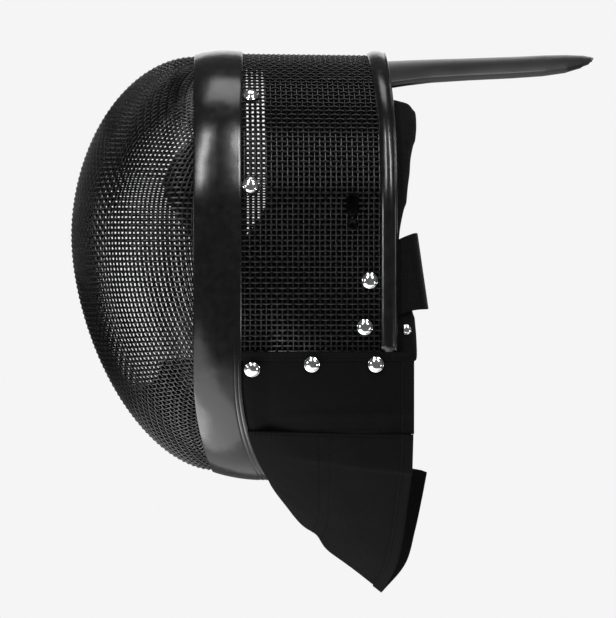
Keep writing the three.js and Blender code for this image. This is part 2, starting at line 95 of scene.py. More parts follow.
def eased(rows, first, steps=8):
    """Rows with the stretch after row number first turned into a smooth curve through them."""
    table = np.array(rows, dtype=float)
    slope = np.gradient(table[first:, 1:], table[first:, 0], axis=0)
    fine = [tuple(row) for row in table[:first]]
    for index, (low, high) in enumerate(zip(table[first:], table[first + 1 :])):
        span = high[0] - low[0]
        for t in np.arange(steps) / steps:
            ease, early, late = t * t * (3 - 2 * t), t * (1 - t) ** 2, t * t * (t - 1)
            rest = (low[1:] + (high[1:] - low[1:]) * ease
                    + span * (early * slope[index] + late * slope[index + 1]))
            fine.append((low[0] + span * t, *rest))
    return fine + [tuple(table[-1])]


HEM_CURVE = eased(HEM, 2)


def smooth(value, low, high):
    share = min(max((value - low) / (high - low), 0), 1)
    return share * share * (3 - 2 * share)


def read(rows, at, column=1):
    """Reads a table of rising rows at a value of its first column."""
    return float(np.interp(at, [row[0] for row in rows], [row[column] for row in rows]))


def skin(angle, y, inset):
    """The point at an angle round the face (0 at the crown, pi at the chin)."""
    across, up = math.sin(angle), math.cos(angle)
    if up >= 0:
        rise = read(CROWN, y) - WIDEST_Z - inset
        return Vector(((HALF_WIDTH - inset) * across, y, WIDEST_Z + rise * up))
    power = 2 / JAW_POWER
    depth = read(JAW_DEPTH, y) - inset
    wide = (HALF_WIDTH - inset) * math.copysign(abs(across) ** power, across)
    return Vector((wide, y, WIDEST_Z - depth * (-up) ** power))


def angle_at(z, y, inset):
    """The angle at which the left side passes a height."""
    if z >= WIDEST_Z:
        return math.acos(min((z - WIDEST_Z) / (read(CROWN, y) - WIDEST_Z - inset), 1))
    depth = read(JAW_DEPTH, y) - inset
    return math.pi - math.acos(min((WIDEST_Z - z) / depth, 1) ** (JAW_POWER / 2))


def on_side(y, z, inset):
    return skin(angle_at(z, y, inset), y, inset)


def side_normal(y, z, inset):
    here = on_side(y, z, inset)
    round_it = skin(angle_at(z, y, inset) + 0.01, y, inset) - here
    along = on_side(y + 1, z, inset) - here
    return round_it.cross(along).normalized()


def trim_front(angle):
    swing = smooth(abs(angle), TRIM["swing"] * DEGREE, math.pi)
    return mix(TRIM["front"], TRIM["chin_front"], swing)


def trim_rear(angle):
    swing = smooth(abs(angle), TRIM["swing"] * DEGREE, math.pi)
    return mix(TRIM["rear"], TRIM["chin_rear"], swing)


def rim_rear(angle):
    return RIM["rear"] - RIM["lean"] * max(math.cos(angle), 0) ** 3


def rim_front(angle):
    return RIM["rear"] - RIM["width"] - RIM["front_lean"] * max(math.cos(angle), 0) ** 3


# ---- Colours and material nodes ----


def linear(code):
    """An sRGB hex colour as linear RGBA."""
    shares = [int(code[i : i + 2], 16) / 255 for i in (1, 3, 5)]
    return tuple(
        s / 12.92 if s <= 0.04045 else ((s + 0.055) / 1.055) ** 2.4 for s in shares
    ) + (1.0,)


def add(tree, kind, values=None, **settings):
    """Adds a node. A value that is a socket is linked, and any other is set."""
    made = tree.nodes.new("ShaderNode" + kind)
    for name, setting in settings.items():
        setattr(made, name, setting)
    for key, value in (values or {}).items():
        if isinstance(value, bpy.types.NodeSocket):
            tree.links.new(value, made.inputs[key])
        else:
            made.inputs[key].default_value = value
    return made


def finish_for(name):
    """A new material with its shader and output in place."""
    material = bpy.data.materials.new(name)
    material.use_nodes = True
    tree = material.node_tree
    tree.nodes.clear()
    shader = add(tree, "BsdfPrincipled")
    add(tree, "OutputMaterial", {"Surface": shader.outputs["BSDF"]})
    return material, tree, shader


def tones(tree, factor, *stops):
    """A colour ramp through (position, hex) stops."""
    ramp = add(tree, "ValToRGB", {"Fac": factor})
    while len(ramp.color_ramp.elements) < len(stops):
        ramp.color_ramp.elements.new(0.5)
    for element, (position, code) in zip(ramp.color_ramp.elements, stops):
        element.position, element.color = position, linear(code)
    return ramp.outputs["Color"]


def enamelled_wire():
    """Woven steel wire dipped in black enamel: dark, with a hard satin glint on every crimp."""
    material, tree, shader = finish_for("black enamelled woven steel wire")
    place = add(tree, "TexCoord").outputs["Object"]
    runs = add(tree, "TexNoise", {"Vector": place, "Scale": 140.0, "Detail": 3.0})  # 7 mm drifts
    dust = add(tree, "TexNoise", {"Vector": place, "Scale": 1600.0, "Detail": 2.0})  # 0.6 mm grain
    colour = tones(tree, runs.outputs["Fac"], (0.3, "#030303"), (0.75, "#080809"))
    rough = add(tree, "MapRange", {"Value": dust.outputs["Fac"], "To Min": 0.12, "To Max": 0.26})
    bump = add(tree, "Bump", {"Height": dust.outputs["Fac"], "Strength": 0.15, "Distance": 0.0001})
    tree.links.new(colour, shader.inputs["Base Color"])
    tree.links.new(rough.outputs["Result"], shader.inputs["Roughness"])
    tree.links.new(bump.outputs["Normal"], shader.inputs["Normal"])
    shader.inputs["Specular IOR Level"].default_value = 0.3
    return material


def gloss_vinyl():
    """Black PVC tape pulled over the joins: wet-looking, slightly uneven, with fine pull marks."""
    material, tree, shader = finish_for("black gloss pvc trim")
    place = add(tree, "TexCoord").outputs["Object"]
    wave = add(tree, "TexNoise", {"Vector": place, "Scale": 55.0, "Detail": 2.0})  # 18 mm ripples
    grain = add(tree, "TexNoise", {"Vector": place, "Scale": 900.0, "Detail": 4.0})  # 1 mm grain
    wear = add(tree, "TexNoise", {"Vector": place, "Scale": 220.0, "Detail": 6.0})
    colour = tones(tree, wear.outputs["Fac"], (0.35, "#060607"), (0.8, "#0D0D0E"))
    rough = add(tree, "MapRange", {"Value": wear.outputs["Fac"], "To Min": 0.15, "To Max": 0.28})
    low = add(tree, "Bump", {"Height": wave.outputs["Fac"], "Strength": 0.3, "Distance": 0.001})
    fine = add(tree, "Bump", {"Height": grain.outputs["Fac"], "Strength": 0.07,
                              "Distance": 0.0002, "Normal": low.outputs["Normal"]})
    tree.links.new(colour, shader.inputs["Base Color"])
    tree.links.new(rough.outputs["Result"], shader.inputs["Roughness"])
    tree.links.new(fine.outputs["Normal"], shader.inputs["Normal"])
    shader.inputs["IOR"].default_value = 1.53
    shader.inputs["Specular IOR Level"].default_value = 0.35
    return material


def brushed_lining():
    """Brushed polyester knit over foam: soft black that drinks light, with a dusty nap."""
    material, tree, shader = finish_for("black brushed polyester knit lining")
    place = add(tree, "TexCoord").outputs["Object"]
    nap = add(tree, "TexNoise", {"Vector": place, "Scale": 700.0, "Detail": 5.0})  # 1.4 mm nap
    loops = add(tree, "TexVoronoi", {"Vector": place, "Scale": 620.0})  # 1.6 mm, coarser than life
    colour = tones(tree, nap.outputs["Fac"], (0.3, "#040404"), (0.8, "#0B0B0C"))
    low = add(tree, "Bump", {"Height": loops.outputs["Distance"], "Strength": 0.5,
                             "Distance": 0.0004})
    fine = add(tree, "Bump", {"Height": nap.outputs["Fac"], "Strength": 0.4, "Distance": 0.0005,
                              "Normal": low.outputs["Normal"]})
    tree.links.new(colour, shader.inputs["Base Color"])
    tree.links.new(fine.outputs["Normal"], shader.inputs["Normal"])
    shader.inputs["Roughness"].default_value = 0.95
    shader.inputs["Specular IOR Level"].default_value = 0.1
    shader.inputs["Sheen Weight"].default_value = 0.02
    shader.inputs["Sheen Roughness"].default_value = 0.5
    return material


def woven(name, pitch, dark, light, strength, ribbed=False):
    """Cloth on its own UV map, in metres: warp and weft as crossed waves, one thread a pitch."""
    material, tree, shader = finish_for(name)
    place = add(tree, "UVMap", uv_map="UVMap").outputs["UV"]
    # A wave texture's bands are 20 to the unit at a scale of pi.
    scale = math.pi / (10 * pitch)
    warp = add(tree, "TexWave", {"Vector": place, "Scale": scale}, bands_direction="X")
    weft = add(tree, "TexWave", {"Vector": place, "Scale": scale}, bands_direction="Y")
    join = "MULTIPLY" if not ribbed else "MAXIMUM"
    threads = add(tree, "Math", {0: warp.outputs["Fac"], 1: weft.outputs["Fac"]}, operation=join)
    slub = add(tree, "TexNoise", {"Vector": place, "Scale": 260.0, "Detail": 5.0})  # 4 mm slubs
    shade = add(tree, "Math", {0: threads.outputs[0], 1: slub.outputs["Fac"]}, operation="MULTIPLY")
    colour = tones(tree, shade.outputs[0], (0.05, dark), (0.6, light))
    folds = add(tree, "TexNoise", {"Vector": place, "Scale": 32.0, "Detail": 2.0})  # 30 mm
    low = add(tree, "Bump", {"Height": folds.outputs["Fac"], "Strength": 0.3, "Distance": 0.004})
    fine = add(tree, "Bump", {"Height": threads.outputs[0], "Strength": strength,
                              "Distance": 0.0003, "Normal": low.outputs["Normal"]})
    tree.links.new(colour, shader.inputs["Base Color"])
    tree.links.new(fine.outputs["Normal"], shader.inputs["Normal"])
    shader.inputs["Roughness"].default_value = 0.8
    shader.inputs["Specular IOR Level"].default_value = 0.06
    shader.inputs["Sheen Weight"].default_value = 0.01
    shader.inputs["Sheen Roughness"].default_value = 0.4
    return material


def coated_cover():
    """Polyurethane-coated cloth stretched over a spring steel strip: satin, greyer than the bib."""
    material, tree, shader = finish_for("charcoal polyurethane coated cloth")
    place = add(tree, "TexCoord").outputs["Object"]
    grain = add(tree, "TexVoronoi", {"Vector": place, "Scale": 900.0})  # 1.1 mm pebbles
    cloud = add(tree, "TexNoise", {"Vector": place, "Scale": 60.0, "Detail": 4.0})
    colour = tones(tree, cloud.outputs["Fac"], (0.3, "#0E0E0F"), (0.8, "#171718"))
    bump = add(tree, "Bump", {"Height": grain.outputs["Distance"], "Strength": 0.25,
                              "Distance": 0.0002})
    rough = add(tree, "MapRange", {"Value": cloud.outputs["Fac"], "To Min": 0.3, "To Max": 0.42})
    tree.links.new(colour, shader.inputs["Base Color"])
    tree.links.new(rough.outputs["Result"], shader.inputs["Roughness"])
    tree.links.new(bump.outputs["Normal"], shader.inputs["Normal"])
    return material


def plated(name, dark, light, rough_low, rough_high):
    """Metal with fine handling scratches, which break its reflections up a little."""
    material, tree, shader = finish_for(name)
    place = add(tree, "TexCoord").outputs["Object"]
    stretched = add(tree, "Mapping", {"Vector": place, "Scale": (400.0, 3000.0, 400.0)})
    scratch = add(tree, "TexNoise", {"Vector": stretched.outputs["Vector"], "Scale": 1.0,
                                     "Detail": 3.0})
    cloud = add(tree, "TexNoise", {"Vector": place, "Scale": 500.0, "Detail": 2.0})  # 2 mm
    colour = tones(tree, cloud.outputs["Fac"], (0.3, dark), (0.7, light))
    rough = add(tree, "MapRange", {"Value": scratch.outputs["Fac"], "To Min": rough_low,
                                   "To Max": rough_high})
    tree.links.new(colour, shader.inputs["Base Color"])
    tree.links.new(rough.outputs["Result"], shader.inputs["Roughness"])
    shader.inputs["Metallic"].default_value = 1.0
    return material


def studio_paper(code, glow):
    material, tree, shader = finish_for("matt studio paper")
    place = add(tree, "TexCoord").outputs["Object"]
    fibre = add(tree, "TexNoise", {"Vector": place, "Scale": 3.0, "Detail": 2.0})
    colour = tones(tree, fibre.outputs["Fac"], (0.2, code), (0.8, "#FBFBFB"))
    tree.links.new(colour, shader.inputs["Base Color"])
    shader.inputs["Roughness"].default_value = 0.95
    shader.inputs["Specular IOR Level"].default_value = 0.0
    shader.inputs["Emission Color"].default_value = linear("#FFFFFF")
    shader.inputs["Emission Strength"].default_value = glow
    return material


WIRE = enamelled_wire()
VINYL = gloss_vinyl()
LINING = brushed_lining()
# Ballistic nylon: a matt black plain weave. Its 0.5 mm threads are drawn at 1.3 mm, to show.
BIB = woven("black ballistic nylon weave", 0.0013, "#020202", "#080809", 0.6)
# Folded nylon tape, closer woven and a little shinier than the bib.
TAPE = woven("black nylon binding tape", 0.0009, "#030303", "#0C0C0D", 0.35)
# Knitted elastic webbing: fine ribs 1.5 mm apart run its whole length.
ELASTIC = woven("black ribbed elastic webbing", 0.0015, "#030303", "#0B0B0C", 0.8, ribbed=True)
COVER = coated_cover()
NICKEL = plated("polished nickel plate", "#C9CACC", "#E6E6E7", 0.06, 0.2)
BLACKED = plated("black oxide steel", "#060607", "#0E0E10", 0.25, 0.42)
PAPER = studio_paper("#F4F4F4", 0.3)

# ---- Making pieces ----


def piece_from(name, mesh, material, slot, *nodes):
    """Puts a finished mesh in the scene, riding on the mask."""
    made = bpy.data.objects.new(name, mesh)
    scene.collection.objects.link(made)
    mesh.materials.clear()
    mesh.materials.append(material)
    mesh.shade_smooth()
    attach(made, "root")
    if nodes:
        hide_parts(*nodes)
    return made


def mesh_of(bm, name):
    mesh = bpy.data.meshes.new(name)
    bm.to_mesh(mesh)
    bm.free()
    return mesh


def grid(columns, rows, place, size=(1.0, 1.0), cap=False):
    """A grid carried onto a surface. place gives millimetres for u and v from 0 to 1, and size is
    the cloth's width and length in metres, for its UV map. Edges that meet are joined."""
    bm = bmesh.new()
    uv = bm.loops.layers.uv.new("UVMap")
    bmesh.ops.create_grid(bm, x_segments=columns, y_segments=rows, size=0.5)
    shares = {v: (v.co.x + 0.5, v.co.y + 0.5) for v in bm.verts}
    for face in bm.faces:
        for loop in face.loops:
            u, v = shares[loop.vert]
            loop[uv].uv = (u * size[0], v * size[1])
    for vert, (u, v) in shares.items():
        vert.co = place(min(max(u, 0), 1), min(max(v, 0), 1)) * MM
    bmesh.ops.remove_doubles(bm, verts=bm.verts, dist=2e-6)
    bmesh.ops.dissolve_degenerate(bm, edges=bm.edges, dist=1e-7)
    if cap:
        rim = [edge for edge in bm.edges if edge.is_boundary]
        bmesh.ops.holes_fill(bm, edges=rim, sides=0)
    bmesh.ops.recalc_face_normals(bm, faces=bm.faces)
    return bm


def settled(name, mesh, *modifiers):
    """The mesh with modifiers, given as (type, settings), applied."""
    holder = bpy.data.objects.new(name, mesh)
    scene.collection.objects.link(holder)
    for kind, settings in modifiers:
        modifier = holder.modifiers.new(kind.lower(), kind)
        for key, value in settings.items():
            setattr(modifier, key, value)
    graph = bpy.context.evaluated_depsgraph_get()
    result = bpy.data.meshes.new_from_object(holder.evaluated_get(graph))
    bpy.data.objects.remove(holder)
    result.name = name
    return result


def cloth_wall(name, columns, rows, place, size, thickness, outward, edge=0.25):
    """A sheet of cloth with a real thickness and soft edges. place gives its outer face, and
    outward a direction that the outer face looks along at its first corner."""
    bm = grid(columns, rows, place, size)
    bm.faces.ensure_lookup_table()
    first = bm.faces[0]
    if first.normal.dot(outward(first.calc_center_median())) < 0:
        bmesh.ops.reverse_faces(bm, faces=bm.faces)
    return settled(
        name, mesh_of(bm, name),
        ("SOLIDIFY", {"thickness": thickness * MM, "offset": -1.0}),
        ("BEVEL", {"width": edge * MM, "segments": 2, "limit_method": "ANGLE",
                   "angle_limit": 50 * DEGREE}),
    )


def tubes(name, runs, radius, sides=1):
    """Round wires or threads along rows of points in millimetres."""
    data = bpy.data.curves.new(name, "CURVE")
    data.dimensions = "3D"
    data.bevel_depth = radius * MM
    data.bevel_resolution = sides
    data.use_fill_caps = True
    for run in runs:
        spline = data.splines.new("POLY")
        spline.points.add(len(run) - 1)
        flat = np.ones((len(run), 4), dtype=np.float32)
        flat[:, :3] = np.asarray(run) * MM
        spline.points.foreach_set("co", flat.ravel())
    holder = bpy.data.objects.new(name, data)
    scene.collection.objects.link(holder)
    graph = bpy.context.evaluated_depsgraph_get()
    mesh = bpy.data.meshes.new_from_object(holder.evaluated_get(graph))
    bpy.data.objects.remove(holder)
    mesh.name = name
    return mesh


# ---- The woven wire ----

WIRE_RADIUS = 0.7
CRIMP = 0.52  # how far each wire bends over and under the next
MIDDLE = WALL / 2


def crimped(net, over):
    """The wires of a net, rows of points along its first index, each weaving over and under."""
    along = np.gradient(net, axis=0)
    across = np.gradient(net, axis=1)
    normal = np.cross(along, across)
    normal /= np.linalg.norm(normal, axis=2, keepdims=True) + 1e-9
    first, second = np.indices(net.shape[:2])
    side = np.where((first + second) % 2 == 0, 1.0, -1.0)[..., None] * over
    return net + normal * side * CRIMP


def bowl_edge(inset):
    """The open edge of the front mesh: bearing from the nose, reach, y and roundness."""
    rows = []
    for angle in np.linspace(0, math.pi, 721):
        point = skin(angle, trim_front(angle), inset)
        up = math.cos(angle)
        end = MERIDIAN_POWER["crown"] if up > 0 else MERIDIAN_POWER["chin"]
        power = mix(MERIDIAN_POWER["side"], end, up * up)
        rise = point.z - NOSE_Z
        rows.append((math.atan2(point.x, rise), math.hypot(point.x, rise), point.y, power))
    return np.array(rows).T


EDGE = bowl_edge(MIDDLE)


def onto_bowl(points):
    """Draws points onto the front mesh, and onto the straight skirt behind its edge."""
    across, rise = points[:, 0], points[:, 2] - NOSE_Z
    bearing = np.abs(np.arctan2(across, rise))
    reach, edge_y, power = (np.interp(bearing, EDGE[0], row) for row in EDGE[1:])
    out = np.hypot(across, rise) / reach
    ahead = (edge_y - points[:, 1]) / (edge_y - NOSE_Y - MIDDLE)
    total = (out**power + np.maximum(ahead, 0) ** power) ** (-1 / power)
    skirt = ahead <= 0
    scale = np.where(skirt, 1 / np.maximum(out, 1e-9), total)
    moved = points.copy()
    moved[:, 0] = across * scale
    moved[:, 2] = NOSE_Z + rise * scale
    moved[:, 1] = np.where(skirt, points[:, 1], edge_y + (points[:, 1] - edge_y) * scale)
    return moved


def stepped(start, heading, pitch, count):
    """Points a pitch apart along the bowl from the nose."""
    points = [np.array(start)]
    heading = np.array(heading, dtype=float)
    for _ in range(count):
        guess = points[-1] + heading * pitch
        for _ in range(12):
            guess = onto_bowl(guess[None])[0]
            guess = points[-1] + (guess - points[-1]) / np.linalg.norm(guess - points[-1]) * pitch
        heading = (guess - points[-1]) / pitch
        points.append(guess)
    return np.array(points)


ACROSS_PITCH, UP_PITCH = 3.05, 3.25
ACROSS_CELLS, UP_CELLS = 56, 62  # enough to run past the edge of the mesh from the nose
SKIRT = 9  # the front mesh is kept this far behind its edge, under the trim
BAND = {"front": -57.0, "rim_gap": 4.2, "hoops": 33, "pitch": 3.26}
QUARTER_WIRES, CHEEK_WIRES = 46, 31  # from the crown to the widest height, and from there down


def quarter_net(up):
    """A quarter of the draped net: every cell keeps its side lengths and only shears."""
    nose = (0.0, NOSE_Y + MIDDLE, NOSE_Z)
    sideways = stepped(nose, (1, 0, 0), ACROSS_PITCH, ACROSS_CELLS)
    upright = stepped(nose, (0, 0, up), UP_PITCH, UP_CELLS)
    net = np.zeros((ACROSS_CELLS + 1, UP_CELLS + 1, 3))
    net[:, 0], net[0, :] = sideways, upright
    for diagonal in range(2, ACROSS_CELLS + UP_CELLS + 1):
        i = np.arange(max(1, diagonal - UP_CELLS), min(ACROSS_CELLS, diagonal - 1) + 1)
        j = diagonal - i
        left, below = net[i - 1, j], net[i, j - 1]
        guess = left + below - net[i - 1, j - 1]
        for _ in range(16):
            guess = onto_bowl(guess)
            from_left, from_below = guess - left, guess - below
            from_left *= ACROSS_PITCH / np.linalg.norm(from_left, axis=1, keepdims=True)
            from_below *= UP_PITCH / np.linalg.norm(from_below, axis=1, keepdims=True)
            guess = (left + from_left + below + from_below) / 2
        net[i, j] = onto_bowl(guess)
    return net


def kept_runs(net, keep):
    """Cuts each wire of a net to the stretches that are kept."""
    runs = []
    for points, flags in zip(net, keep):
        start = None
        for index, flag in enumerate(list(flags) + [False]):
            if flag and start is None:
                start = index
            if not flag and start is not None:
                if index - start > 2:
                    runs.append(points[start:index])
                start = None
    return runs


def front_net():
    half = np.concatenate([quarter_net(-1)[:, :0:-1], quarter_net(1)], axis=1)
    mirrored = half[:0:-1] * np.array([-1.0, 1.0, 1.0])
    return np.concatenate([mirrored, half])


def side_net():
    """Hoops over the head, and wires that run back along the sides."""
    reach = QUARTER_WIRES + CHEEK_WIRES
    rows = []
    for hoop in range(BAND["hoops"]):
        v = hoop / (BAND["hoops"] - 1)
        row = []
        for wire in range(-reach, reach + 1):
            side, far = (1, wire) if wire >= 0 else (-1, -wire)
            angle = far / QUARTER_WIRES * math.pi / 2
            y = mix(BAND["front"], rim_rear(angle) - BAND["rim_gap"], v)
            if far > QUARTER_WIRES:
                z = WIDEST_Z - (far - QUARTER_WIRES) * BAND["pitch"]
                angle = angle_at(z, y, MIDDLE)
            point = skin(angle, y, MIDDLE)
            row.append((point.x * side, point.y, point.z))
        rows.append(row)
    return np.array(rows)


front = front_net()
bearing = np.abs(np.arctan2(front[..., 0], front[..., 2] - NOSE_Z))
in_front = front[..., 1] < np.interp(bearing, EDGE[0], EDGE[2]) + SKIRT
side = side_net()
all_side = np.ones(side.shape[:2], dtype=bool)

lift_front, lift_side = crimped(front, 1), crimped(side, 1)
drop_front, drop_side = crimped(front, -1), crimped(side, -1)
for name, net, keep, node in (
    ("front_mesh_upright_wires", lift_front, in_front, "front_mesh"),
    ("front_mesh_cross_wires", drop_front.transpose(1, 0, 2), in_front.T, "front_mesh"),
    ("side_mesh_hoops", lift_side, all_side, "side_mesh"),
    ("side_mesh_runs", drop_side.transpose(1, 0, 2), all_side.T, "side_mesh"),
):
    piece_from(name, tubes(name, kept_runs(net, keep), WIRE_RADIUS), WIRE, "wire_mesh", node)

# ---- Trim and binding ----


def rounded(corners, radius, steps=4):
    """A closed outline with each corner cut to a small arc."""
    outline = []
    count = len(corners)
    for index, corner in enumerate(corners):
        here = np.array(corner, dtype=float)
        before, after = (np.array(corners[(index + step) % count], dtype=float) - here
                         for step in (-1, 1))
        reach = min(radius, np.linalg.norm(before) / 2.2, np.linalg.norm(after) / 2.2)
        start = here + before / np.linalg.norm(before) * reach
        end = here + after / np.linalg.norm(after) * reach
        for step in range(steps + 1):
            t = step / steps
            outline.append((1 - t) ** 2 * start + 2 * t * (1 - t) * here + t * t * end)
    return outline


def swept(name, section, steps, last=None):
    """A closed outline carried round the skin. Its corners are a place across and an inset."""
    size = len(section(0.0))

    def place(u, v):
        index = round(v * size) % size
        angle = (2 * u - 1) * math.pi
        if last is not None:
            y, inset = section(angle)[index]
            angle = (2 * u - 1) * angle_at(last, y, inset)
        elif u == 1:
            angle = -math.pi
        y, inset = section(angle)[index]
        return skin(angle, y, inset)

    bm = grid(steps, size, place, cap=last is not None)
    return mesh_of(bm, name)


# Across the trim from front to rear: a share of its width and how far it stands proud. Under the
# chin, two grooves are pressed beside the rear edge.
TRIM_SHOULDER = [(0.0, 0.95), (0.0, 1.15), (0.03, 1.45), (0.12, 2.0), (0.22, 2.45), (0.34, 2.8),
                 (0.48, 3.0), (0.58, 2.95), (0.68, 2.78), (0.77, 2.52)]
GROOVE_DEPTHS = ((2.25, 1.94), (1.8, 1.5))  # plain, and pressed in
TRIM_PLAIN, TRIM_PRESSED = (rounded(TRIM_SHOULDER + [
    (0.82, 2.33), (0.84, first), (0.86, 2.17), (0.895, 2.02), (0.915, second), (0.935, 1.85),
    (0.97, 1.66), (0.995, 1.3), (1.0, 0.95)], 0.5, 2) for first, second in GROOVE_DEPTHS)
BINDING_OUTLINE = rounded([
    (0.0, -0.45), (0.0, -1.2), (0.07, -1.75), (0.2, -2.35), (0.38, -2.75), (0.55, -2.78),
    (0.7, -2.5), (0.82, -2.05), (0.86, -1.8), (0.9, -2.15), (0.97, -2.0), (1.0, -1.2), (1.0, 2.2),
    (0.9, 3.05), (0.3, 3.05),
    (0.3, 2.2), (0.72, 2.2), (0.72, -0.45),
], 0.5, 2)


def trim_section(angle):
    front_y, width = trim_front(angle), trim_rear(angle) - trim_front(angle)
    pressed = smooth(abs(angle), 112 * DEGREE, 140 * DEGREE)
    outline = mix(np.array(TRIM_PLAIN), np.array(TRIM_PRESSED), pressed)
    return [(front_y + width * share, -proud) for share, proud in outline.tolist()]


def binding_section(angle):
    front_y, rear_y = rim_front(angle), rim_rear(angle)
    return [(mix(front_y, rear_y, share), inset) for share, inset in BINDING_OUTLINE]


piece_from("front_trim_tape", swept("front_trim_tape", trim_section, 240), VINYL, "gloss_trim",
           "front_trim")
piece_from("rear_edge_binding", swept("rear_edge_binding", binding_section, 200, RIM["foot"]),
           VINYL, "gloss_trim", "rear_binding")

# ---- Padding ----


def padded_piece(name, node, voxel, shrink, cap, reach=0.0):
    """A pad grown from its solid: drawn in a little, evened out, then blown up as cloth. Evening
    out in voxels wears its edges down, so reach draws the rear edge back out by so many
    millimetres. A pad with no voxel size is subdivided, because voxels leave a thin edge ragged."""
    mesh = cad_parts[node].data.copy()
    bm = bmesh.new()
    bm.from_mesh(mesh)
    bmesh.ops.remove_doubles(bm, verts=bm.verts, dist=1e-5)
    bm.normal_update()
    for vert in bm.verts:
        vert.co -= vert.normal * shrink * MM
    bm.to_mesh(mesh)
    bm.free()
    if voxel:
        even = settled(name, mesh, ("REMESH", {"mode": "VOXEL", "voxel_size": voxel * MM}),
                       ("SMOOTH", {"factor": 0.5, "iterations": 2}))
    else:
        even = settled(name, mesh, ("SUBSURF", {"levels": 2, "render_levels": 2}))
    swell(even, cap)
    for vert in even.vertices:
        vert.co.y += reach * MM * smooth(vert.co.y, 0.03, 0.058)
    final = settled(name, even, ("SMOOTH", {"factor": 0.5, "iterations": 1}),
                    ("SUBSURF", {"levels": 1, "render_levels": 1}))
    made = piece_from(name, final, LINING, "padding", node)


PRESSURE, SWELL_STEPS = 4.0, 20


def swell(mesh, cap):
    """Blows a closed mesh up with a cloth simulation, and limits how far each point moves."""
    holder = bpy.data.objects.new("swelling", mesh)
    scene.collection.objects.link(holder)
    before = np.empty(len(mesh.vertices) * 3)
    mesh.vertices.foreach_get("co", before)
    cloth = holder.modifiers.new("cloth", "CLOTH")
    cloth.settings.quality = 4
    cloth.settings.use_pressure = True
    cloth.settings.uniform_pressure_force = PRESSURE
    cloth.settings.effector_weights.gravity = 0.0
    cloth.collision_settings.use_collision = False
    cloth.collision_settings.use_self_collision = False
    for step in range(1, SWELL_STEPS + 1):
        scene.frame_set(step)
    graph = bpy.context.evaluated_depsgraph_get()
    blown = bpy.data.meshes.new_from_object(holder.evaluated_get(graph))
    after = np.empty(len(mesh.vertices) * 3)
    blown.vertices.foreach_get("co", after)
    move = (after - before).reshape(-1, 3)
    length = np.linalg.norm(move, axis=1, keepdims=True) + 1e-12
    move *= np.minimum(1.0, cap * MM / length)
    mesh.vertices.foreach_set("co", (before.reshape(-1, 3) + move).ravel())
    mesh.update()
    bpy.data.objects.remove(holder)
    scene.frame_set(1)


padded_piece("lining_pad", "liner", 4.5, 0.6, 2.0, reach=3.0)
padded_piece("brow_pad", "forehead_pad", None, 0.1, 1.5)
padded_piece("chin_cushion", "chin_pad", 4.0, 0.8, 1.5)

# ---- Tongue ----


def tongue_place(u, v):
    y = mix(TONGUE[0][0], TONGUE[-1][0], 1 - (1 - v) ** 1.6)
    half, top, drop = (read(TONGUE, y, column) for column in (1, 2, 3))
    radius = (half * half + drop * drop) / (2 * drop)
    turn = (2 * u - 1) * math.asin(half / radius)
    return Vector((radius * math.sin(turn), y, top - radius * (1 - math.cos(turn))))


piece_from("tongue_cover", cloth_wall(
    "tongue_cover", 40, 90, tongue_place, (0.08, 0.17), TONGUE_THICKNESS,
    lambda _: Vector((0, 0, 1)), 0.8), COVER, "tongue_cover", "tongue")

# ---- Strap ----


ROUTE_STEPS = 400


def strap_route():
    """The strap seen from above, as evenly spaced points from its left end to its right."""
    wide = HALF_WIDTH - STRAP["inset"] - STRAP["thickness"] / 2
    end, back, corner, bow = (STRAP[key] for key in ("end", "back", "corner", "bow"))
    turned = back - bow + 0.2  # the corner runs into the gentle bow across the back
    turn = np.array([(wide, back - bow - corner), (wide, back - bow), (wide - corner, turned)])
    across = np.array([(wide - corner, turned), (0, back + bow - 0.2), (corner - wide, turned)])
    t = np.linspace(0, 1, 60)[:, None]

    def arc(points):
        return (1 - t) ** 2 * points[0] + 2 * t * (1 - t) * points[1] + t * t * points[2]

    mirror = np.array([-1, 1])
    straight = mix(np.array((wide, end)), turn[0], t)
    half = np.concatenate([straight, arc(turn)])
    line = np.concatenate([half, arc(across), half[::-1] * mirror])
    length = np.concatenate([[0], np.cumsum(np.linalg.norm(np.diff(line, axis=0), axis=1))])
    even = np.linspace(0, length[-1], ROUTE_STEPS + 1)
    return np.stack([np.interp(even, length, line[:, axis]) for axis in (0, 1)], axis=1)


ROUTE = strap_route()


def strap_place(u, v):
    index = min(round(u * ROUTE_STEPS), ROUTE_STEPS)
    middle = ROUTE[index]
    ahead = ROUTE[min(index + 1, ROUTE_STEPS)] - ROUTE[max(index - 1, 0)]
    out = np.array((ahead[1], -ahead[0])) / np.linalg.norm(ahead)
    share = smooth(middle[1], STRAP["end"], STRAP["back"])
    z = mix(STRAP_Z["ends"], STRAP_Z["back"], share) + STRAP["height"] * (0.5 - v)
    tilt = STRAP["tilt"] * (2 * v - 1) * smooth(middle[1], STRAP["tilt_from"], STRAP["back"])
    x, y = middle + out * (STRAP["thickness"] / 2 + tilt)
    room = on_side(y, z, STRAP["inset"]).x
    return Vector((math.copysign(min(abs(x), room), x), y, z))


def away_from_middle(centre):
    return Vector((centre.x, 0, 0))


strap = piece_from("elastic_back_strap", cloth_wall(
    "elastic_back_strap", 200, 12, strap_place, (0.287, 0.047), STRAP["thickness"],
    away_from_middle, 0.3), ELASTIC, "elastic", "back_strap")

# ---- Bib ----

TUCK = 1.5  # the cloth's front edge is sewn in this far under the trim


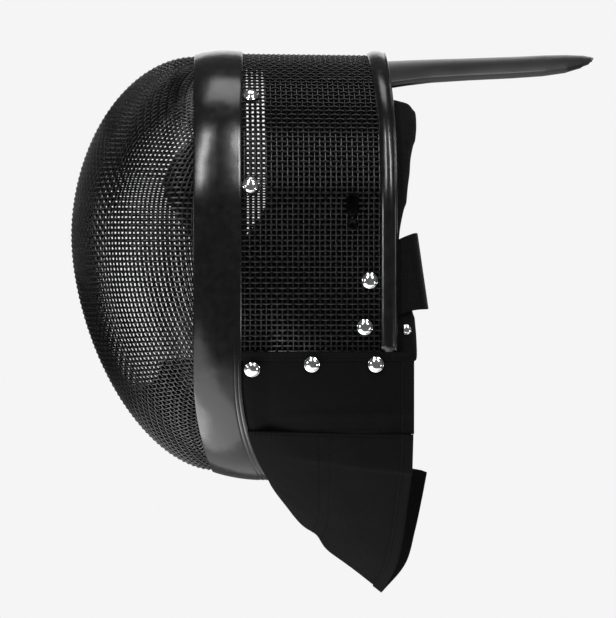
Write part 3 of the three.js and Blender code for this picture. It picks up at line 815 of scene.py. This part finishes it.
def yoke_place(side, depth):
    """The flat side panel between the trim and the bib's rear edge, depth mm under its face."""
    inset = CLOTH_OUTSIDE + depth

    def place(u, v):
        z = mix(YOKE["top"], YOKE["seam"], v)
        start = trim_rear(angle_at(z, TRIM["rear"], inset)) - TUCK
        y = mix(start, YOKE["rear"], u)
        tucked = 1.3 * (1 - smooth(y - start, TUCK, 6))
        ripple = 0.4 * noise.noise(Vector((y / 22, z / 15, side * 5.0)))
        fold = 0.9 * math.exp(-(((z + 203 - y * 0.03) / 3.2) ** 2)) * smooth(y, -30, 0)
        point = on_side(y, z, inset + 0.9 + ripple - fold + tucked)
        return Vector((point.x * side, y, z))

    return place


def apron_place(depth):
    """The hanging part: ribs from the trim's rear edge to the hem."""
    first = angle_at(YOKE["seam"] - GAP, -36, CLOTH_OUTSIDE)

    def place(u, v):
        side = 1 if u <= 0.5 else -1
        along = 1 - abs(2 * u - 1)
        angle = mix(first, math.pi, along)
        start = skin(angle, trim_rear(angle) - TUCK, CLOTH_OUTSIDE + 1.5)
        column = 2 if side > 0 else 4
        end = Vector((read(HEM_CURVE, along, column), read(HEM_CURVE, along, column + 1),
                      read(HEM_CURVE, along)))
        point = start.lerp(end, v)
        turn = along * math.pi / 2
        tilt = APRON["tilt"] * DEGREE
        inward = Vector((-math.cos(turn), math.sin(turn) * math.sin(tilt),
                         math.sin(turn) * math.cos(tilt)))
        pinch = APRON["pinch"] * math.exp(-(((v - APRON["seam"]) / APRON["seam_width"]) ** 2))
        sag = APRON["sag"] * math.sin(math.pi * v ** APRON["bias"]) - pinch * along
        crease = 1.3 * noise.noise(Vector((u * 9, v * 5, 2.0))) * math.sin(math.pi * v)
        point += inward * (depth - max(sag, 0) + crease)
        return Vector((max(point.x, 0) * side, point.y, point.z))

    return place


def within(place, u_from, u_to, v_from, v_to):
    """The same surface over part of its range."""
    return lambda u, v: place(mix(u_from, u_to, u), mix(v_from, v_to, v))


def down_and_out(centre):
    return Vector((centre.x, -0.02, -0.05))


CLOTH_DEPTH = 0.7  # the cloth lies this far under its tapes' face
CLOTH_THICKNESS, TAPE_THICKNESS = 1.4, 0.6
for side_sign, word in ((1, "left"), (-1, "right")):
    yoke = piece_from(f"bib_yoke_{word}_cloth", cloth_wall(
        f"bib_yoke_{word}_cloth", 60, 30, yoke_place(side_sign, CLOTH_DEPTH), (0.108, 0.053),
        CLOTH_THICKNESS, away_from_middle), BIB, "bib_cloth", f"bib_yoke_{word}")
    tape = piece_from(f"bib_top_tape_{word}", cloth_wall(
        f"bib_top_tape_{word}", 60, 3,
        within(yoke_place(side_sign, 0.0), 0, 1, -0.01, 0.1), (0.108, 0.006), TAPE_THICKNESS,
        away_from_middle, 0.2), TAPE, "bib_cloth", f"bib_yoke_{word}")
    rear = piece_from(f"bib_rear_tape_{word}", cloth_wall(
        f"bib_rear_tape_{word}", 4, 30,
        within(yoke_place(side_sign, 0.0), 0.93, 1.005, 0.1, 1), (0.008, 0.045), TAPE_THICKNESS,
        away_from_middle, 0.2), TAPE, "bib_cloth", f"bib_yoke_{word}")

apron = piece_from("bib_apron_cloth", cloth_wall(
    "bib_apron_cloth", 128, 48, apron_place(CLOTH_DEPTH), (0.225, 0.104), CLOTH_THICKNESS,
    down_and_out), BIB, "bib_cloth", "bib_apron")
hem = piece_from("bib_hem_tape", cloth_wall(
    "bib_hem_tape", 128, 4, within(apron_place(0.0), 0, 1, 0.93, 1.0), (0.29, 0.008),
    TAPE_THICKNESS, down_and_out, 0.2), TAPE, "bib_cloth", "bib_apron")


def stitches(place, start, end, depth_lift=0.25, length=2.4, gap=1.2):
    """Short threads laid end to end along a line on a surface, from one (u, v) to another."""
    samples = [place(mix(start[0], end[0], t), mix(start[1], end[1], t))
               for t in np.linspace(0, 1, 400)]
    line = np.array([tuple(p) for p in samples])
    run = np.concatenate([[0], np.cumsum(np.linalg.norm(np.diff(line, axis=0), axis=1))])
    runs = []
    at = gap
    while at + length < run[-1]:
        stations = at + length * np.array([0, 0.2, 0.5, 0.8, 1.0])
        points = np.stack([np.interp(stations, run, line[:, axis]) for axis in range(3)], axis=1)
        centre = np.array((0.0, 0.0, points[2][2] + 60.0))
        out = points[2] - centre
        out /= np.linalg.norm(out)
        points += out * (np.array([-0.3, 0.6, 1.0, 0.6, -0.3]) * depth_lift)[:, None]
        runs.append(points)
        at += length + gap
    return runs


threads = []
for side_sign in (1, -1):
    face, cloth_face = yoke_place(side_sign, 0.0), yoke_place(side_sign, CLOTH_DEPTH)
    threads += stitches(face, (0.01, 0.075), (0.99, 0.075))
    threads += stitches(face, (0.945, 0.14), (0.945, 0.98))
    threads += stitches(cloth_face, (0.02, 0.95), (0.92, 0.95))
for v in (APRON["seam"] - 0.035, APRON["seam"] + 0.035):
    threads += stitches(apron_place(CLOTH_DEPTH), (0.01, v), (0.99, v))
threads += stitches(apron_place(0.0), (0.004, 0.945), (0.996, 0.945))
for u in (0.012, 0.988):
    threads += stitches(apron_place(CLOTH_DEPTH), (u, 0.03), (u, 0.92))
seams = piece_from("bib_seam_stitching", tubes("bib_seam_stitching", threads, 0.22, 0), TAPE,
                   "bib_cloth", "bib_apron")

# ---- Metalwork ----


def seat_on_side(y, z, inset, side_sign):
    """The turn and place of a fitting that stands on the side of the mask."""
    mirror = Matrix.Diagonal((side_sign, 1, 1))
    outward = mirror @ side_normal(y, z, inset)
    centre = mirror @ (on_side(y, z, inset) + side_normal(y, z, inset) * GAP)
    upward = (Vector((0, 0, 1)) - outward * outward.z).normalized()
    turned = Matrix((upward.cross(outward), upward, outward)).transposed().to_4x4()
    return Matrix.Translation(centre * MM) @ turned @ Matrix.Scale(MM, 4)


def turned_head(name, profile, seat, material, slot, node):
    """A head spun from a profile of (radius, height) in millimetres."""
    bm = bmesh.new()
    verts = [bm.verts.new((radius, 0, height)) for radius, height in profile]
    edges = [bm.edges.new(pair) for pair in zip(verts, verts[1:])]
    bmesh.ops.spin(bm, geom=verts + edges, axis=(0, 0, 1), cent=(0, 0, 0), dvec=(0, 0, 0),
                   angle=2 * math.pi, steps=40, use_merge=True, use_duplicate=False)
    bmesh.ops.remove_doubles(bm, verts=bm.verts, dist=1e-4)
    bmesh.ops.recalc_face_normals(bm, faces=bm.faces)
    bmesh.ops.transform(bm, matrix=seat, verts=bm.verts)
    return piece_from(name, mesh_of(bm, name), material, slot, node)


def domed(radius, height, lip):
    """A domed head's profile, with a thin rolled edge."""
    turns = [step * 10 * DEGREE for step in range(0, 9)]
    crown = [((radius - lip) * math.cos(t), lip + (height - lip) * math.sin(t)) for t in turns]
    edge = [(0, 0), (radius - 0.1, 0), (radius, 0.12), (radius, lip * 0.7), (radius - 0.12, lip)]
    return edge + crown + [(0, height)]


def pill_plate(name, seat, node):
    """The slot: a pill-shaped plate with a raised rim round a shallow recess."""
    bm = bmesh.new()
    bmesh.ops.create_circle(bm, cap_ends=True, segments=48, radius=SLOT["radius"])
    for vert in bm.verts:
        vert.co.y += math.copysign(SLOT["straight"], vert.co.y) if abs(vert.co.y) > 1e-4 else 0
    base = bm.faces[:]
    raised = bmesh.ops.extrude_face_region(bm, geom=base)["geom"]
    top = [face for face in raised if isinstance(face, bmesh.types.BMFace)]
    bmesh.ops.translate(bm, vec=(0, 0, SLOT["height"]),
                        verts=[v for v in raised if isinstance(v, bmesh.types.BMVert)])
    bmesh.ops.inset_region(bm, faces=top, thickness=SLOT["rim"], depth=0)
    sunk = bmesh.ops.extrude_face_region(bm, geom=top)["geom"]
    bmesh.ops.delete(bm, geom=top, context="FACES_ONLY")
    bmesh.ops.translate(bm, vec=(0, 0, -SLOT["recess"]),
                        verts=[v for v in sunk if isinstance(v, bmesh.types.BMVert)])
    bmesh.ops.recalc_face_normals(bm, faces=bm.faces)
    sharp = [edge for edge in bm.edges if len(edge.link_faces) == 2
             and edge.calc_face_angle(0) > 60 * DEGREE]
    bmesh.ops.bevel(bm, geom=sharp, offset=SLOT["edge"], segments=3, profile=0.5,
                    affect="EDGES", material=-1)
    bmesh.ops.transform(bm, matrix=seat, verts=bm.verts)
    return piece_from(name, mesh_of(bm, name), BLACKED, "black_metal", node)


for side_sign, word in ((1, "left"), (-1, "right")):
    for rivet, (y, z, inset) in RIVETS.items():
        turned_head(f"{rivet}_{word}_head", domed(*RIVET_HEAD),
                    seat_on_side(y, z, inset, side_sign), NICKEL, "nickel", f"{rivet}_{word}")
    pill_plate(f"side_slot_{word}_plate", seat_on_side(SLOT["y"], SLOT["z"], 0, side_sign),
               f"side_slot_{word}")
    turned_head(f"side_stud_{word}_head", domed(*STUD_HEAD), seat_on_side(*STUD_PLACE, side_sign),
                BLACKED, "black_metal", f"side_stud_{word}")
    turned_head(f"wing_snap_{word}_cap", domed(*SNAP_HEAD), seat_on_side(*SNAP_PLACE, side_sign),
                NICKEL, "nickel", f"wing_snap_{word}")

# ---- Studio ----

FLOOR_RADIUS, FLOOR_Z = 1.2, -1.2  # metres


def studio():
    """A pale round floor, well below the mask."""
    bm = bmesh.new()
    bmesh.ops.create_circle(bm, cap_ends=True, segments=96, radius=FLOOR_RADIUS)
    bmesh.ops.translate(bm, vec=(0, 0, FLOOR_Z), verts=bm.verts)
    floor = bpy.data.objects.new("floor", mesh_of(bm, "floor"))
    floor.data.materials.append(PAPER)
    scene.collection.objects.link(floor)


def softbox(name, place, aim, size, power):
    """An area light at a place, turned to face a point."""
    data = bpy.data.lights.new(name, "AREA")
    data.shape = "RECTANGLE"
    data.size, data.size_y = size
    data.energy = power
    light = bpy.data.objects.new(name, data)
    light.location = place
    light.rotation_euler = (Vector(aim) - Vector(place)).to_track_quat("-Z", "Y").to_euler()
    light.visible_camera = False
    scene.collection.objects.link(light)


studio()
MIDDLE_OF_MASK = (0.0, -0.02, -0.12)
for box in (
    ("overhead softbox", (-0.1, 0.0, 1.6), MIDDLE_OF_MASK, (0.7, 0.7), 7),
    ("wall glow", (-2.6, 0.1, 0.5), MIDDLE_OF_MASK, (2.6, 1.6), 19),
    ("front strip", (1.65, -0.66, 1.2), MIDDLE_OF_MASK, (0.24, 1.6), 30),
    ("rear strip", (1.65, 0.66, 1.2), MIDDLE_OF_MASK, (0.2, 1.6), 36),
    ("low board", (0.2, -0.25, -0.57), (0.05, -0.05, -0.2), (0.55, 0.6), 2.6),
    ("low board middle", (0.1, -0.32, -0.55), (0.05, -0.05, -0.2), (0.25, 0.3), 1.2),
    ("face softbox", (-0.7, -1.9, 0.5), MIDDLE_OF_MASK, (0.7, 0.9), 8),
    ("nape softbox", (-1.2, 1.7, 0.6), MIDDLE_OF_MASK, (0.7, 0.9), 10),
    ("level softbox", (1.4, -1.7, -0.1), MIDDLE_OF_MASK, (0.25, 0.35), 7),
    ("low rear glint", (1.3, 1.3, -0.75), MIDDLE_OF_MASK, (0.2, 0.2), 6),
):
    softbox(*box)

# The studio is pale to look at, and dim as a source of light, so that black stays black.
world = bpy.data.worlds.new("studio air")
world.use_nodes = True
air = world.node_tree
air.nodes.clear()
dim = add(air, "Background", {"Color": linear("#F4F5F6"), "Strength": 0.15})
pale = add(air, "Background", {"Color": linear("#F5F5F5"), "Strength": 1.0})
seen = add(air, "LightPath").outputs["Is Camera Ray"]
both = add(air, "MixShader", {0: seen, 1: dim.outputs[0], 2: pale.outputs[0]})
add(air, "OutputWorld", {"Surface": both.outputs[0]})
scene.world = world
scene.view_settings.view_transform = "Standard"

# The camera stands a long way off to the wearer's left, level with the middle of the mask.
CAMERA_DISTANCE, VIEW_WIDTH, SENSOR_WIDTH = 8.0, 0.385, 36
camera_data = bpy.data.cameras.new("camera")
camera_data.sensor_width = SENSOR_WIDTH
camera_data.lens = SENSOR_WIDTH * CAMERA_DISTANCE / VIEW_WIDTH
camera = bpy.data.objects.new("camera", camera_data)
camera.location = (CAMERA_DISTANCE, -0.00125, -0.136875)
camera.rotation_euler = (math.pi / 2, 0, math.pi / 2)
scene.collection.objects.link(camera)
scene.camera = camera
